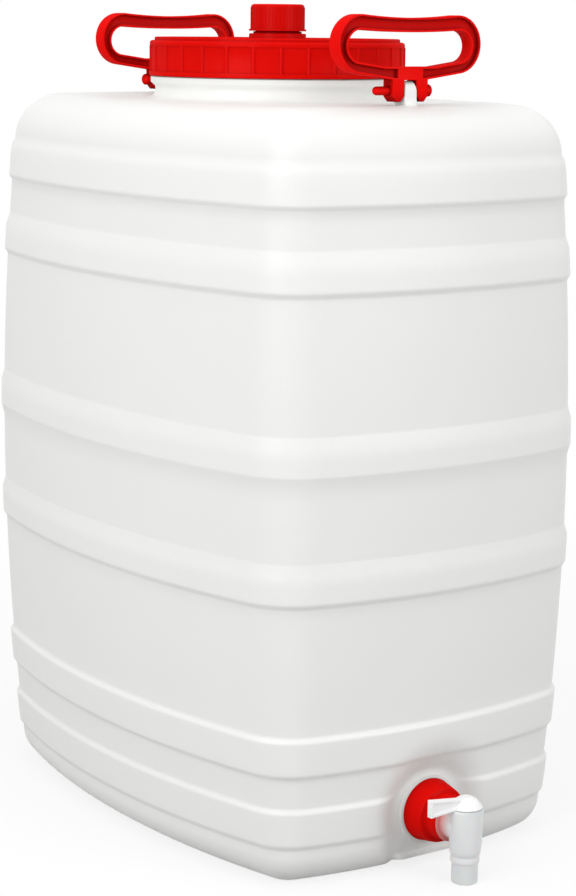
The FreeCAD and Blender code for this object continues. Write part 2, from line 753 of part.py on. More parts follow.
# Handles: a loop with a grooved rib section and two ears for the pin
def add_grip_outline(sketch, rim, closed_by):
    """The outer edge of a handle, drawn in by a rim, from the right foot of
    its loop round to the left foot, closed by the corners given."""
    slope = size["handle_slope"]
    reach = size["grip_half"]
    full = (size["grip_top"] - size["grip_low"]) / 2
    middle = size["grip_low"] + full
    end = full - rim
    dip = size["grip_dip"]
    dip_radius = (reach * reach + dip * dip) / (2 * dip) + rim
    foot_x = reach + end * sine(slope)
    foot_z = middle - end * cosine(slope)
    loop = [
        (foot_x, foot_z, "left", end),
        (reach + end, middle, "left", end),
        (reach, middle + end, "right", dip_radius),
        (-reach, middle + end, "left", end),
        (-reach - end, middle, "left", end),
        (-foot_x, foot_z)]

    def edge_level(x):
        return foot_z - (foot_x - x) * sine(slope) / cosine(slope)

    add_loop(sketch, loop + closed_by(edge_level))


def hand_opening(rim):
    """The finger opening widened by a rim, from its floor on the left,
    clockwise to its floor on the right."""
    slope = size["handle_slope"]
    reach = size["hand_half"]
    end = size["hand_round"] + rim
    middle = size["hand_top"] - size["hand_round"]
    floor = size["hand_floor"] - rim
    dip = size["hand_dip"]
    dip_radius = (reach * reach + dip * dip) / (2 * dip) - rim
    foot_x = reach + end * sine(slope)
    foot_z = middle - end * cosine(slope)
    floor_x = foot_x - (foot_z - floor) * cosine(slope) / sine(slope)
    return [
        (-floor_x, floor),
        (-foot_x, foot_z, "right", end),
        (-reach - end, middle, "right", end),
        (-reach, middle + end, "left", dip_radius),
        (reach, middle + end, "right", end),
        (reach + end, middle, "right", end),
        (foot_x, foot_z),
        (floor_x, floor)]


def make_handle(name, side):
    body = new_body(name)
    depth = size["handle_depth"]
    slot = size["ear_gap"] / 2
    ear = slot + size["ear_width"]
    bevel = size["ear_bevel"]
    low = -size["ear_drop"]
    cut = low + bevel * 1.2

    def ears(edge_level):
        return [
            (-ear, edge_level(ear)),
            (-ear, cut),
            (-ear + bevel, low),
            (-slot - bevel, low),
            (-slot, cut),
            (-slot, size["slot_rise"]),
            (slot, size["slot_rise"]),
            (slot, cut),
            (slot + bevel, low),
            (ear - bevel, low),
            (ear, cut),
            (ear, edge_level(ear))]

    sketch = new_sketch(body, name + "_outline", "XZ")
    add_grip_outline(sketch, as_size(0), ears)
    add_loop(sketch, hand_opening(as_size(0)))
    pad(body, name + "_loop", sketch, depth, both_ways=True)

    rim = size["groove_rim"]
    web = size["web_half"]
    inner = hand_opening(rim)

    def along_opening(edge_level):
        return [(-web, edge_level(web)), (-web, inner[0][1])] + inner \
            + [(web, inner[0][1]), (web, edge_level(web))]

    sketch = new_sketch(body, name + "_groove_outline", "XZ", lift=depth / 2)
    add_grip_outline(sketch, rim, along_opening)
    groove = pocket(body, name + "_groove", sketch, size["groove_depth"])
    mirrored(body, name + "_grooves", [groove], "XZ")
    sketch = new_sketch(body, name + "_pin_circle", "YZ")
    add_circle(sketch, 0, 0, size["pin_radius"] + size["pin_fit"])
    pocket(body, name + "_pin_hole", sketch, ear * 2 + 2, both_ways=True)
    place(body, y=size["handle_reach"] * side, z=pin_level, turn=90 + 90 * side)
    return body


def make_pin(name, side):
    radius = size["pin_radius"]
    head = size["pin_head_radius"]
    dome = size["pin_dome"]
    ear = size["ear_gap"] / 2 + size["ear_width"]
    tail = -ear - size["pin_tail"]
    head_start = ear + size["pin_play"]
    head_end = head_start + size["pin_head_length"]
    body = turned_piece(name, [
        (tail, 0, "right", radius),
        (tail + radius, radius),
        (head_start, radius),
        (head_start, head),
        (head_end - dome, head, "right", (head * head + dome * dome) / (2 * dome)),
        (head_end, 0)], axis="H_Axis")
    place(body, y=size["handle_reach"] * side, z=pin_level, turn=90 + 90 * side)
    return body


# Outlet: gasket, red cone adapter and the tap
seat_y = -size["seat_reach"]
tap_level = size["tap_level"]
nose = size["outlet_gasket_thickness"] + size["adapter_length"]
socket = size["stub_radius"] + size["stub_fit"]


def make_outlet_gasket():
    inside = size["outlet_radius"] + 0.5
    outside = size["boss_radius"] - size["boss_rim"] - 0.9
    body = turned_piece("outlet_gasket", [
        (-size["outlet_gasket_thickness"], inside),
        (0, inside),
        (0, outside),
        (-size["outlet_gasket_thickness"], outside)], plane="YZ", axis="H_Axis")
    place(body, y=seat_y, z=tap_level)
    return body


def make_adapter():
    foot = -size["outlet_gasket_thickness"]
    nipple = size["outlet_radius"] - size["nipple_fit"]
    rounding = size["adapter_nose_rounding"]
    way = size["bore_radius"] + 1.4
    body = turned_piece("outlet_adapter", [
        (size["boss_depth"], way),
        (size["boss_depth"], nipple),
        (foot, nipple),
        (foot, size["adapter_foot_radius"]),
        (-nose + rounding, size["adapter_nose_radius"], "left", rounding),
        (-nose, size["adapter_nose_radius"] - rounding),
        (-nose, socket),
        (-nose + size["stub_seat"], socket),
        (-nose + size["stub_seat"], way)], plane="YZ", axis="H_Axis")
    place(body, y=seat_y, z=tap_level)
    return body


barrel_y = seat_y - nose - size["tap_reach"]


def make_tap_gasket():
    reach = size["tap_reach"] + size["stub_seat"]
    thick = size["tap_gasket_thickness"]
    body = turned_piece("tap_gasket", [
        (reach - thick, size["bore_radius"] + 0.3),
        (reach, size["bore_radius"] + 0.3),
        (reach, size["stub_radius"]),
        (reach - thick, size["stub_radius"])], plane="YZ", axis="H_Axis")
    place(body, y=barrel_y, z=tap_level)
    return body


def make_tap_body():
    body = new_body("tap_body")
    stub_end = size["tap_reach"] + size["stub_seat"] - size["tap_gasket_thickness"]
    flange = size["tap_reach"] - size["stub_flange_width"]
    stub = size["stub_radius"]
    sketch = new_sketch(body, "stub_section", "YZ")
    add_loop(sketch, [
        (0, 0),
        (stub_end, 0),
        (stub_end, stub),
        (size["tap_reach"], stub),
        (size["tap_reach"], size["stub_flange_radius"]),
        (flange, size["stub_flange_radius"]),
        (flange, stub),
        (0, stub)])
    revolve(body, "stub", sketch, "H_Axis")
    ring_top = -size["ring_drop"]
    ring_low = ring_top - size["ring_height"]
    spout = size["spout_radius"]
    end = -size["spout_drop"]
    sketch = new_sketch(body, "barrel_section", "XZ")
    add_loop(sketch, [
        (0, size["barrel_rise"]),
        (0, end),
        (spout - 0.6, end),
        (spout, end + 1.2),
        (spout, ring_low - 1.0),
        (size["barrel_low_radius"], ring_low),
        (size["barrel_low_radius"], ring_top),
        (spout + 0.2, ring_top),
        (spout + 0.2, ring_top + 0.8),
        (size["barrel_low_radius"], ring_top + 1.6),
        (size["barrel_top_radius"], size["barrel_rise"])])
    revolve(body, "barrel", sketch)
    bore = size["key_radius"] + size["key_fit"]
    seat = -size["key_drop"] - 0.5
    sketch = new_sketch(body, "bore_section", "XZ")
    add_loop(sketch, [
        (0, size["barrel_rise"] + 1),
        (0, end - 1),
        (size["bore_radius"], end - 1),
        (size["bore_radius"], seat - 1.5),
        (bore, seat),
        (bore, size["barrel_rise"] + 1)])
    revolve(body, "barrel_bore", sketch, cut=True)
    sketch = new_sketch(body, "inlet_circle", "XZ", lift=-stub_end - 1)
    add_circle(sketch, 0, 0, size["bore_radius"])
    pocket(body, "inlet", sketch, stub_end + 1, backwards=True)
    place(body, y=barrel_y, z=tap_level)
    return body


def make_tap_key():
    body = new_body("tap_key")
    plug = size["key_radius"]
    end = -size["key_drop"]
    head_low = size["barrel_rise"] + size["key_lip"]
    head_top = head_low + size["key_head_height"]
    head = size["key_head_radius"]
    crown = size["key_crown"]
    groove = plug - size["ring_groove"]
    half = size["ring_section"] + 0.15
    corners = [(0, end), (plug, end)]
    for level in (-size["lower_ring_drop"], size["upper_ring_rise"]):
        corners.append((plug, level - half))
        corners.append((groove, level - half))
        corners.append((groove, level + half))
        corners.append((plug, level + half))
    corners.append((plug, head_low))
    corners.append((head, head_low))
    corners.append((head, head_top - crown, "left", crown))
    corners.append((head - crown, head_top))
    corners.append((0, head_top))
    sketch = new_sketch(body, "key_section", "XZ")
    add_loop(sketch, corners)
    revolve(body, "key_turned", sketch)

    # Lever: a flag with a rim round a hollow panel on both faces
    tip = -size["lever_length"]
    thick = size["lever_thickness"]
    past_barrel = -size["barrel_top_radius"] - 0.7
    root_top = head_low + size["lever_root_top"]
    tip_top = head_low + size["lever_tip_top"]
    root_low = head_low - size["lever_drop"] + 0.6
    tip_low = head_low - size["lever_drop"]
    sketch = new_sketch(body, "lever_outline", "XZ")
    add_loop(sketch, [
        (-5, root_top),
        (tip + 2, tip_top, "left", 2),
        (tip, tip_top - 2),
        (tip + 0.8, tip_low + 2, "left", 2),
        (tip + 2.8, tip_low),
        (past_barrel, root_low),
        (past_barrel, head_low),
        (-5, head_low)])
    pad(body, "lever", sketch, thick, both_ways=True)
    rim = size["lever_rim"]
    hollow_root = -head - 1.4
    sketch = new_sketch(body, "lever_panel", "XZ", lift=thick / 2)
    add_loop(sketch, [
        (hollow_root, root_top - rim),
        (tip + rim + 1, tip_top - rim - 0.3),
        (tip + rim + 1.4, tip_low + rim + 1),
        (hollow_root, root_low + rim + 1.6)])
    panel = pocket(body, "lever_hollow_front", sketch, size["lever_hollow"])
    mirrored(body, "lever_hollows", [panel], "XZ")

    # Blind bore from below and the side hole that meets the inlet
    sketch = new_sketch(body, "key_bore_circle", "XY", lift=end - 1)
    add_circle(sketch, 0, 0, size["key_bore"])
    pocket(body, "key_bore", sketch, size["key_bore"] + 1 - end, backwards=True)
    sketch = new_sketch(body, "side_hole_circle", "YZ")
    add_circle(sketch, 0, 0, size["key_bore"])
    pocket(body, "side_hole", sketch, plug + 1, backwards=True)
    place(body, y=barrel_y, z=tap_level)
    return body


def make_key_ring(name, level):
    body = new_body(name)
    section = size["ring_section"]
    bevel = section / 2
    sketch = new_sketch(body, name + "_section", "XZ")
    outside = size["key_radius"]
    inside = outside - section * 2
    add_loop(sketch, [
        (outside, -bevel),
        (outside, bevel),
        (outside - bevel, section),
        (inside + bevel, section),
        (inside, bevel),
        (inside, -bevel),
        (inside + bevel, -section),
        (outside - bevel, -section)])
    revolve(body, name + "_turned", sketch)
    place(body, y=barrel_y, z=tap_level + level)
    return body


parts = [
    make_drum_body(),
    make_lid(),
    make_lid_gasket(),
    make_vent_cap(),
    make_vent_cap_seal(),
    make_handle("front_handle", -1),
    make_pin("front_handle_pin", -1),
    make_handle("rear_handle", 1),
    make_pin("rear_handle_pin", 1),
    make_outlet_gasket(),
    make_adapter(),
    make_tap_body(),
    make_tap_gasket(),
    make_tap_key(),
    make_key_ring("key_ring_upper", size["upper_ring_rise"]),
    make_key_ring("key_ring_lower", -size["lower_ring_drop"])]


# Checks, then one file for each piece
def check_and_write():
    doc.recompute()
    broken = [item.Name for item in doc.Objects
              if "Invalid" in item.State or "Error" in item.State]
    if broken:
        raise RuntimeError("not built: " + ", ".join(broken))
    os.makedirs("parts", exist_ok=True)
    for body in parts:
        shape = body.Shape
        if shape.isNull() or not shape.isValid():
            raise RuntimeError("bad shape: " + body.Name)
        body.Label = body.Name
        print(body.Name, "solids", len(shape.Solids), "faces", len(shape.Faces),
              "volume", round(shape.Volume / 1000.0, 2), "cm3")
        shape.exportStep(os.path.join("parts", body.Name + ".step"))


check_and_write()
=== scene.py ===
import math

import bmesh
import bpy
from mathutils import Matrix, Vector


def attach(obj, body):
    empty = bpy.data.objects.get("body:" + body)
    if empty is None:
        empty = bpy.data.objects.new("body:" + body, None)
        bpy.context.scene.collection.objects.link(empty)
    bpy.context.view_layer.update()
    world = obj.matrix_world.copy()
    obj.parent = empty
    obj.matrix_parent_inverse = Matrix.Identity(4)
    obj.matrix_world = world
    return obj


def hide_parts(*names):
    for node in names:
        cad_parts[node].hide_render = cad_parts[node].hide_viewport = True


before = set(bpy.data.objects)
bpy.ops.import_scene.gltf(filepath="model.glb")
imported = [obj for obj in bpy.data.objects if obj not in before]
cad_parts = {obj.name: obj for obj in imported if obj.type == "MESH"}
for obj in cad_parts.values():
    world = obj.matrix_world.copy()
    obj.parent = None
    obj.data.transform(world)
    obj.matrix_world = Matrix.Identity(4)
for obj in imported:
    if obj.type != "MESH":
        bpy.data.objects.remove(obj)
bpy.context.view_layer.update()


# Camera and studio: the photograph's view, with a long lens from the front
# left and a little above, under three soft lamps.
def look_from(azimuth, elevation, roll, distance, aim, lens):
    turn, rise = math.radians(azimuth), math.radians(elevation)
    back = Vector((math.sin(turn) * math.cos(rise), -math.cos(turn) * math.cos(rise),
                   math.sin(rise)))
    right = Vector((math.cos(turn), math.sin(turn), 0))
    up = back.cross(right)
    lean = math.radians(roll)
    level = right * math.cos(lean) + up * math.sin(lean)
    upright = up * math.cos(lean) - right * math.sin(lean)
    data = bpy.data.cameras.new("view")
    data.lens = lens
    data.clip_end = 20
    camera = bpy.data.objects.new("view", data)
    bpy.context.collection.objects.link(camera)
    camera.matrix_world = Matrix((level, upright, back)).transposed().to_4x4()
    camera.location = right * aim[0] + Vector((0, 0, aim[1])) + back * distance
    bpy.context.scene.camera = camera


look_from(azimuth=-35.006, elevation=10.395, roll=0.642, distance=1.7782,
          aim=(0.01128, 0.27360), lens=92.68)
bpy.context.scene.view_settings.view_transform = "Standard"


def soft_light(name, size, power, place, aim):
    data = bpy.data.lights.new(name, "AREA")
    data.shape = "RECTANGLE"
    data.size, data.size_y = size
    data.energy = power
    lamp = bpy.data.objects.new(name, data)
    bpy.context.collection.objects.link(lamp)
    lamp.location = place
    lamp.rotation_euler = (Vector(aim) - Vector(place)).to_track_quat("-Z", "Y").to_euler()


soft_light("left_box", (1.4, 1.8), 24, (-2.0, -0.7, 1.2), (0, 0, 0.3))
soft_light("front_box", (1.2, 1.6), 17, (0.9, -2.2, 1.1), (0, 0, 0.3))
soft_light("top_box", (1.6, 1.6), 10, (-0.2, -0.1, 2.3), (0, 0, 0.4))


# Drum body: one shell of natural polyethylene, blown 3 mm thick in a mould that
# leaves it half glossy. It has bulging sides with six bands, a deck, the neck
# with its collar, two lugs for the handles and a recess with the outlet's boss.
MM = 0.001
HALF_WIDTH, HALF_LENGTH = 160.7, 218.2
SIDE_BULGE, END_BULGE, CORNER = 34.5, 28.7, 44.0
SIDE_ARC = (HALF_LENGTH ** 2 / SIDE_BULGE + SIDE_BULGE) / 2
END_ARC = (HALF_WIDTH ** 2 / END_BULGE + END_BULGE) / 2
SIDE_CENTRE, END_CENTRE = HALF_WIDTH - SIDE_ARC, HALF_LENGTH - END_ARC
DECK, WALL = 540.3, 3.0


def corner_centre():
    apart = math.hypot(SIDE_CENTRE, END_CENTRE)
    to_side, to_end = SIDE_ARC - CORNER, END_ARC - CORNER
    along = ((to_side ** 2 - to_end ** 2) / apart + apart) / 2
    aside = math.sqrt(to_side ** 2 - along ** 2)
    return (SIDE_CENTRE - (SIDE_CENTRE * along + END_CENTRE * aside) / apart,
            (END_CENTRE * along - SIDE_CENTRE * aside) / apart)


CORNER_X, CORNER_Y = corner_centre()
SIDE_TURN = math.atan2(CORNER_Y, CORNER_X - SIDE_CENTRE)
END_TURN = math.atan2(CORNER_Y - END_CENTRE, CORNER_X)


def quarter_plan(share):
    """A point of the plan's first quarter and its way out, from the middle of
    the long side (0) to the middle of the narrow side (1)."""
    lengths = (SIDE_ARC * SIDE_TURN, CORNER * (END_TURN - SIDE_TURN),
               END_ARC * (math.pi / 2 - END_TURN))
    run = share * sum(lengths)
    if run < lengths[0]:
        turn, centre, radius = run / SIDE_ARC, (SIDE_CENTRE, 0), SIDE_ARC
    elif run < lengths[0] + lengths[1]:
        turn = SIDE_TURN + (run - lengths[0]) / CORNER
        centre, radius = (CORNER_X, CORNER_Y), CORNER
    else:
        turn = END_TURN + (run - lengths[0] - lengths[1]) / END_ARC
        centre, radius = (0, END_CENTRE), END_ARC
    way = Vector((math.cos(turn), math.sin(turn)))
    return Vector(centre) + way * radius, way


def plan_points(quarter_steps, front_steps):
    """The plan, anticlockwise from the middle of the right side, with finer
    steps on the quarters next to the tap."""
    points = []
    for quarter, (flip_x, flip_y) in enumerate(((1, 1), (-1, 1), (-1, -1), (1, -1))):
        steps = quarter_steps if quarter < 2 else front_steps
        shares = [step / steps for step in range(steps)]
        if quarter % 2:
            shares = [1 - share for share in shares]
        for share in shares:
            if quarter >= 2:
                share = 1 - (1 - share) ** 1.35
            point, way = quarter_plan(share)
            points.append((Vector((point.x * flip_x, point.y * flip_y)),
                           Vector((way.x * flip_x, way.y * flip_y))))
    return points


def drawn_in(level):
    return 12.0 * ((level - 276.0) / 240) ** 2


def ease(share):
    share = min(max(share, 0.0), 1.0)
    return share * share * (3 - 2 * share)


BANDS = ((28.4, 2.3), (81.0, 2.6), (203.7, 2.5),
         (291.1, 2.4), (415.2, 2.5), (472.8, 2.6))  # lower edge, how far it stands out
BAND_HEIGHT, LOWER_LEDGE, UPPER_LEDGE = 30.9, 5.0, 4.2


def band_proud(level):
    stands = 0.0
    for low, proud in BANDS:
        rising = (level - low + 0.7) / LOWER_LEDGE
        falling = (low + BAND_HEIGHT + 0.6 - level) / UPPER_LEDGE
        stands = max(stands, proud * min(ease(rising), ease(falling)))
    return stands


def arc_steps(centre, radius, start, stop, steps):
    for step in range(steps + 1):
        turn = math.radians(start + (stop - start) * step / steps)
        yield centre[0] - radius * math.cos(turn), centre[1] + radius * math.sin(turn)


SHOULDER_START, SHOULDER_RUN, SHOULDER_FULLNESS = 501.3, 42.0, 2.2
HEEL_START, HEEL_RADIUS, HEEL_TURN = 25.0, 24.0, 56.0


def shoulder_steps(steps, thinner=0.0):
    """The shoulder's curve from the wall up to the deck, fuller than an arc."""
    foot = drawn_in(SHOULDER_START)
    rise = DECK - SHOULDER_START
    for step in range(steps + 1):
        turn = math.pi / 2 * step / steps
        across = 1 - max(math.cos(turn), 0) ** (2 / SHOULDER_FULLNESS)
        upward = math.sin(turn) ** (2 / SHOULDER_FULLNESS)
        level = SHOULDER_START + (rise - thinner) * upward
        proud = 0 if thinner else band_proud(level)
        yield foot + thinner + (SHOULDER_RUN - thinner) * across - proud, level


def wall_section():
    """Inset and level of each ring of the outside, from foot to deck."""
    side = drawn_in(HEEL_START)
    rings = [(41.5, 7.0), (41.5, 1.6), (40.9, 0.5), (39.6, 0.0), (36.5, 0.0), (33.6, 0.0),
             (31.6, 0.3), (30.0, 0.95), (27.4, 2.6)]
    rings += list(arc_steps((side + HEEL_RADIUS, HEEL_START), HEEL_RADIUS, -HEEL_TURN, 0, 12))
    level, step = HEEL_START + 1.4, 1.9
    while level < SHOULDER_START - 1:
        rings.append((drawn_in(level) - band_proud(level), level))
        near = min(min(abs(level - low - 2), abs(level - low - BAND_HEIGHT + 2))
                   for low, _ in BANDS)
        step = 1.0 if near < 4.5 else (2.6 if level < 112 else 8.0)
        level += step
    rings += list(shoulder_steps(22))
    return rings


def recess_depth(x, y, z, deeper=0.0):
    """How far back a point of the narrow side is pushed for the tap's recess."""
    floor = -198.5 + deeper
    half, top, corner = 31.0 - deeper * 0.6, 70.5 - deeper * 0.6, 28.0
    dx, dz = abs(x) - (half - corner), z - (top - corner)
    if dx > 0 and dz > 0:
        outside = math.hypot(dx, dz) - corner
    else:
        outside = max(dx, dz) - corner
    slope = floor - outside / math.tan(math.radians(46))
    for limit, blur in ((floor, 2.4), (y, 7.0)):
        mix = max(blur * 2 - abs(slope - limit), 0) / (blur * 2)
        slope = (min if limit == floor else max)(slope, limit)
        slope += mix * mix * blur / 2 * (-1 if limit == floor else 1)
    return slope


def select_only(obj):
    bpy.ops.object.select_all(action="DESELECT")
    obj.select_set(True)
    bpy.context.view_layer.objects.active = obj


def ringed(name, rings):
    """A skin grown from a circle by extruding it ring by ring, with both ends
    closed. Each ring is a list of points in millimetres."""
    bpy.ops.object.select_all(action="DESELECT")
    bpy.ops.mesh.primitive_circle_add(vertices=len(rings[0]), radius=1)
    piece = bpy.context.object
    piece.name = name
    bpy.ops.object.mode_set(mode="EDIT")
    bpy.ops.mesh.select_all(action="SELECT")
    for _ in rings[1:]:
        bpy.ops.mesh.extrude_region()
    bpy.ops.mesh.edge_face_add()
    mesh = bmesh.from_edit_mesh(piece.data)
    mesh.verts.ensure_lookup_table()
    for count, ring in enumerate(rings):
        for index, point in enumerate(ring):
            mesh.verts[count * len(ring) + index].co = Vector(point) * MM
    bpy.ops.mesh.select_all(action="DESELECT")
    for index in range(len(rings[0])):
        mesh.verts[index].select = True
    mesh.select_flush(True)
    bmesh.update_edit_mesh(piece.data)
    bpy.ops.mesh.edge_face_add()
    bpy.ops.mesh.select_all(action="SELECT")
    bpy.ops.mesh.normals_make_consistent(inside=False)
    bpy.ops.object.mode_set(mode="OBJECT")
    return piece


def drum_rings():
    points = plan_points(56, 104)
    rings = []

    def lay(inset, level, round_radius=None, share=0.0, deeper=0.0):
        ring = []
        for point, way in points:
            flat = point - way * min(inset, 34.0)
            flat -= flat.normalized() * max(inset - 34.0, 0)
            if round_radius is not None:
                flat = flat.lerp(flat.normalized() * round_radius, share)
            x, y = flat
            z = level
            if y < -165 and level < 110:
                y = recess_depth(x, y, level, deeper)
                lifted = ease((28 - abs(x)) / 7)
                z += lifted * max(5.2 + deeper - z, 0)
                if 5.4 < level < 10 and not deeper:
                    y += lifted * (-198.4 - y)
            ring.append((x, y, z))
        rings.append(ring)

    for inset, level in wall_section():
        lay(inset, level)

    # Deck, neck and mouth
    for share in (0.35, 0.75):
        lay(drawn_in(SHOULDER_START) + SHOULDER_RUN + 0.3, DECK, 97.0, share)
    neck = [(97.0, DECK)]
    neck += [(97.0 - 6 * math.sin(math.radians(turn)),
              DECK + 6 - 6 * math.cos(math.radians(turn)))
             for turn in (15, 30, 45, 60, 75, 90)]
    neck += [(91.0, 548.2), (91.5, 549.2), (94.0, 551.4), (94.4, 552.1), (94.4, 555.7),
             (93.9, 556.2), (88.4, 556.2), (88.0, 556.6), (88.0, 576.5), (87.4, 577.3),
             (84.1, 577.3), (83.5, 576.7), (83.5, 540.0), (84.0, 537.9), (86.0, 537.3)]
    for radius, level in neck:
        lay(41.0, level, radius, 1.0)

    # Inner skin, down to the floor
    for inset, level in reversed(list(shoulder_steps(8, WALL))):
        lay(inset, level, deeper=WALL)
    for level in (440, 380, 320, 264, 200, 140, 110, 98, 90) + tuple(range(84, 20, -4)):
        lay(drawn_in(level) + WALL, level, deeper=WALL)
    side = drawn_in(HEEL_START)
    for inset, level in arc_steps((side + HEEL_RADIUS, HEEL_START), HEEL_RADIUS - WALL,
                                  0, -HEEL_TURN, 5):
        lay(inset, level, deeper=WALL)
    for inset, level in ((33.4, 3.1), (37.0, 3.0), (38.5, 10.0)):
        lay(inset, level, deeper=WALL)
    return rings


shell = ringed("drum_shell", drum_rings())


def cutter(name, radius, low, high, vertices=96, lying=True, place=(0, 0, 0)):
    """A plain cylinder for a boolean, along Y if it lies."""
    bpy.ops.object.select_all(action="DESELECT")
    middle = (low + high) / 2 * MM
    at = ((place[0] * MM, middle, place[2] * MM) if lying
          else (place[0] * MM, place[1] * MM, middle))
    bpy.ops.mesh.primitive_cylinder_add(vertices=vertices, radius=radius * MM,
                                        depth=(high - low) * MM, location=at,
                                        rotation=(math.pi / 2 if lying else 0, 0, 0))
    tool = bpy.context.object
    tool.name = name
    bpy.ops.object.transform_apply(location=True, rotation=True, scale=True)
    return tool


def carve(piece, tool, operation):
    select_only(piece)
    modifier = piece.modifiers.new("carve", "BOOLEAN")
    modifier.operation = operation
    modifier.solver = "EXACT"
    modifier.object = tool
    bpy.ops.object.modifier_apply(modifier="carve")
    bpy.data.objects.remove(tool)


TAP_LEVEL = 41.3
carve(shell, cutter("boss", 25.4, -201.2, -190.0, place=(0, 0, TAP_LEVEL)), "UNION")
carve(shell, cutter("seat", 23.0, -203.0, -199.0, place=(0, 0, TAP_LEVEL)), "DIFFERENCE")
carve(shell, cutter("outlet", 13.4, -203.0, -180.0, place=(0, 0, TAP_LEVEL)), "DIFFERENCE")


def lug(name, side):
    """A fin on the deck with a rounded top and a hole for the handle's pin,
    thinner at the top by the mould's draft and flared at its foot."""
    reach, rise, radius, thick = 157.0 * side, 550.4, 6.7, 9.8
    rings = []
    for across in (-1.0, -0.9, 0.0, 0.9, 1.0):
        ring = []
        for step in range(64):
            turn = 2 * math.pi * step / 64
            y, z = math.cos(turn), math.sin(turn)
            inner = 0.93 if abs(across) == 1.0 else 1.0
            if z >= 0:
                y, level = y * radius * inner, rise + z * radius * inner
                half = thick / 2 - 0.8 * z
            else:
                drop = 14.5 * min(-z * 1.02, 1)
                flare = 3.4 * ease((drop - 6.0) / 8.5)
                y = math.copysign(radius * inner + flare, y) if abs(y) > 1e-6 else 0.0
                y *= min(1.0, abs(math.cos(turn)) / 0.18)
                level = rise - drop
                half = thick / 2 + 0.35 * drop / 14.5
            ring.append((half * across, reach + y, level))
        rings.append(ring)
    fin = ringed(name, rings)
    hole = cutter("hole", 3.15, -8, 8, vertices=40)
    hole.data.transform(Matrix.Translation((0, reach * MM, rise * MM))
                        @ Matrix.Rotation(math.pi / 2, 4, "Z"))
    carve(fin, hole, "DIFFERENCE")
    select_only(fin)
    bpy.ops.object.shade_smooth_by_angle(angle=math.radians(40))
    return fin


STEPS_A_TURN = 60


def thread(name, radius, low, pitch, turns, height, width, inward=False):
    """A rounded helical ridge that fades out at both ends."""
    rings = []
    total = int(turns * STEPS_A_TURN)
    away = -1 if inward else 1
    for step in range(total + 1):
        turn = 2 * math.pi * step / STEPS_A_TURN
        fade = ease(min(step, total - step) / (STEPS_A_TURN * 0.12))
        level = low + pitch * step / STEPS_A_TURN
        outline = [(radius + away * ((1 - share * share) * height * fade - 0.25), share)
                   for share in (-1, -0.67, -0.33, 0, 0.33, 0.67, 1)]
        outline += [(radius - away * 0.6, 1), (radius - away * 0.6, -1)]
        rings.append([(reach * math.cos(turn), reach * math.sin(turn),
                       level + share * width / 2)
                      for reach, share in outline])
    piece = ringed(name, rings)
    select_only(piece)
    bpy.ops.object.shade_smooth_by_angle(angle=math.radians(50))
    return piece


drum_pieces = [shell, lug("front_lug", -1), lug("rear_lug", 1)]
drum_pieces.append(thread("neck_thread", 88.0, 560.0, 9.0, 1.6, 1.9, 3.4))

class Value:
    """A shader socket that takes part in arithmetic."""

    def __init__(self, tree, socket):
        self.tree = tree
        self.socket = socket

    def math(self, operation, first, second):
        node = self.tree.nodes.new("ShaderNodeMath")
        node.operation = operation
        for index, term in enumerate((first, second)):
            if isinstance(term, Value):
                self.tree.links.new(term.socket, node.inputs[index])
            else:
                node.inputs[index].default_value = term
        return Value(self.tree, node.outputs[0])

    def __add__(self, other):
        return self.math("ADD", self, other)

    def __mul__(self, other):
        return self.math("MULTIPLY", self, other)

    __radd__ = __add__
    __rmul__ = __mul__


class Finish:
    """A material, and the nodes that give it its surface."""

    def __init__(self, name):
        self.material = bpy.data.materials.new(name)
        self.material.use_nodes = True
        self.tree = self.material.node_tree
        self.shader = self.tree.nodes["Principled BSDF"]
        self.place = self.node("ShaderNodeTexCoord")["Object"]

    def node(self, kind, settings=None, **inputs):
        node = self.tree.nodes.new(kind)
        for key, setting in (settings or {}).items():
            setattr(node, key, setting)
        for key, value in inputs.items():
            self.feed(node, key.replace("_", " "), value)
        return {socket.name: Value(self.tree, socket) for socket in node.outputs}

    def feed(self, node, name, value):
        socket = next(s for s in node.inputs if s.name.lower() == name.lower() and s.enabled)
        if isinstance(value, Value):
            self.tree.links.new(value.socket, socket)
        else:
            socket.default_value = value

    def set(self, **inputs):
        for key, value in inputs.items():
            self.feed(self.shader, key.replace("_", " "), value)

    def noise(self, scale, detail):
        return self.node("ShaderNodeTexNoise", Vector=self.place, Scale=scale, Detail=detail)["Fac"]

    def blend(self, factor, first, second):
        return self.node("ShaderNodeMixRGB", Fac=factor, Color1=first, Color2=second)["Color"]

    def bump(self, height, depth, strength):
        return self.node("ShaderNodeBump", Height=height, Distance=depth,
                         Strength=strength)["Normal"]


natural = Finish("natural_plastic")
cloud = natural.noise(5.0, 3.0)
skin = natural.noise(420.0, 2.0)
swell = natural.noise(16.0, 1.0)
natural.set(Base_Color=natural.blend(cloud, (0.84, 0.84, 0.822, 1), (0.87, 0.87, 0.855, 1)),
            Roughness=0.38 + 0.10 * cloud, Subsurface_Weight=0.12, Subsurface_Scale=0.010,
            Normal=natural.bump(skin * 0.25 + swell, 0.0006, 0.35))
natural.shader.inputs["Subsurface Radius"].default_value = (1.0, 0.95, 0.85)
natural.shader.inputs["IOR"].default_value = 1.52
natural.shader.inputs["Specular IOR Level"].default_value = 0.35
select_only(shell)
bpy.ops.object.shade_smooth_by_angle(angle=math.radians(42))
for piece in drum_pieces:
    piece.data.materials.clear()
    piece.data.materials.append(natural.material)
    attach(piece, "drum")
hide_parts("drum_body")


